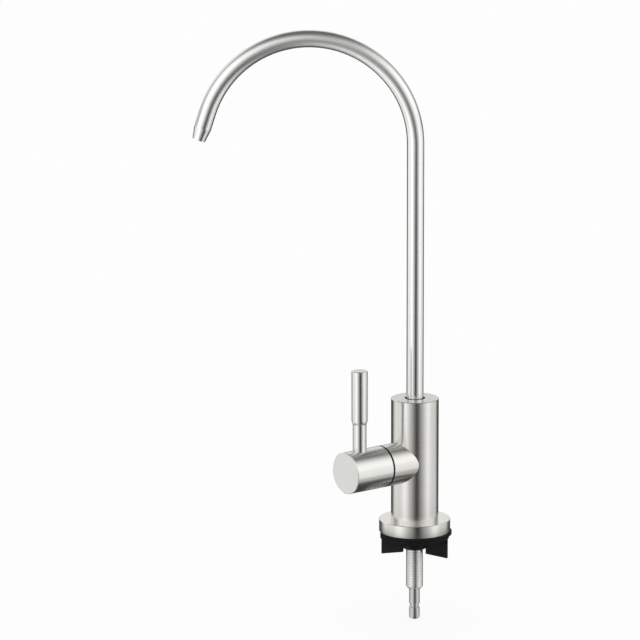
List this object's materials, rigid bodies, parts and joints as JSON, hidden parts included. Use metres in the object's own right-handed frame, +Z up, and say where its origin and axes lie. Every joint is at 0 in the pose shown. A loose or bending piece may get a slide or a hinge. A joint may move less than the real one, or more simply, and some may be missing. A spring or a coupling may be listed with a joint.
{
  "type": "drinking water filter tap",
  "caption": "Deck-mounted filter tap: turned column, gooseneck spout that swivels, side quarter-turn lever valve, threaded shank with wing nut, and a push-fit inlet stub.",
  "frame": {"origin": "centre of the deck gasket's underside, on the upper face of the deck", "axes": "+Z up the column and the shank's axis, -X towards the spout's outlet at rest"},
  "size_m": [0.1503, 0.0624, 0.3512],
  "materials": {
    "brushed_stainless": "satin brushed stainless steel",
    "turned_stainless": "fine turned stainless steel",
    "threaded_stainless": "rolled thread, stainless steel",
    "spring_steel": "spring steel",
    "machined_brass": "machined brass",
    "alumina_ceramic": "lapped alumina",
    "black_rubber": "moulded rubber, matt",
    "black_plastic": "moulded plastic, satin"
  },
  "bodies": {
    "root": {"body_column": "brushed_stainless", "valve_branch": "brushed_stainless", "base_flange": "brushed_stainless", "deck_gasket": "black_rubber", "threaded_shank": "threaded_stainless", "inlet_stub": "turned_stainless", "shank_seal": "black_rubber", "cartridge_housing": "machined_brass", "cartridge_body_seal": "black_rubber", "cartridge_seat_seal": "black_rubber", "fixed_ceramic_disc": "alumina_ceramic", "gland_nut": "machined_brass", "glide_ring": "black_plastic", "spout_retaining_ring": "spring_steel"},
    "handle": {"handle_cap": "brushed_stainless", "lever_stem": "turned_stainless", "lever_grip": "turned_stainless", "cap_grub_screw": "threaded_stainless", "valve_spindle": "machined_brass", "moving_ceramic_disc": "alumina_ceramic", "spindle_seal": "black_rubber", "spindle_circlip": "spring_steel"},
    "spout": {"spout_tube": "brushed_stainless", "spout_end_fitting": "turned_stainless", "upper_spout_seal": "black_rubber", "lower_spout_seal": "black_rubber", "spout_wiper_ring": "black_rubber"},
    "washer": {"clamp_washer": "black_plastic"},
    "nut": {"wing_nut": "black_plastic"}
  },
  "joints": [
    {"name": "handle_turn", "type": "hinge", "parent": "root", "child": "handle", "pos_m": [0, 0, 0.0447], "axis": [-0.788, -0.6157, 0], "range_deg": [0, 90]},
    {"name": "spout_swivel", "type": "hinge", "parent": "root", "child": "spout", "pos_m": [0, 0, 0.0822], "axis": [0, 0, 1], "continuous": true},
    {"name": "washer_travel", "type": "slide", "parent": "root", "child": "washer", "axis": [0, 0, -1], "range_m": [0, 0.022]},
    {"name": "nut_turn", "type": "hinge", "parent": "washer", "child": "nut", "pos_m": [0, 0, -0.006], "axis": [0, 0, -1], "range_deg": [0, 7920]}
  ],
  "couplings": [
    {"joint": "nut_turn", "follows": "washer_travel", "rad_per_m": 6283.2}
  ]
}
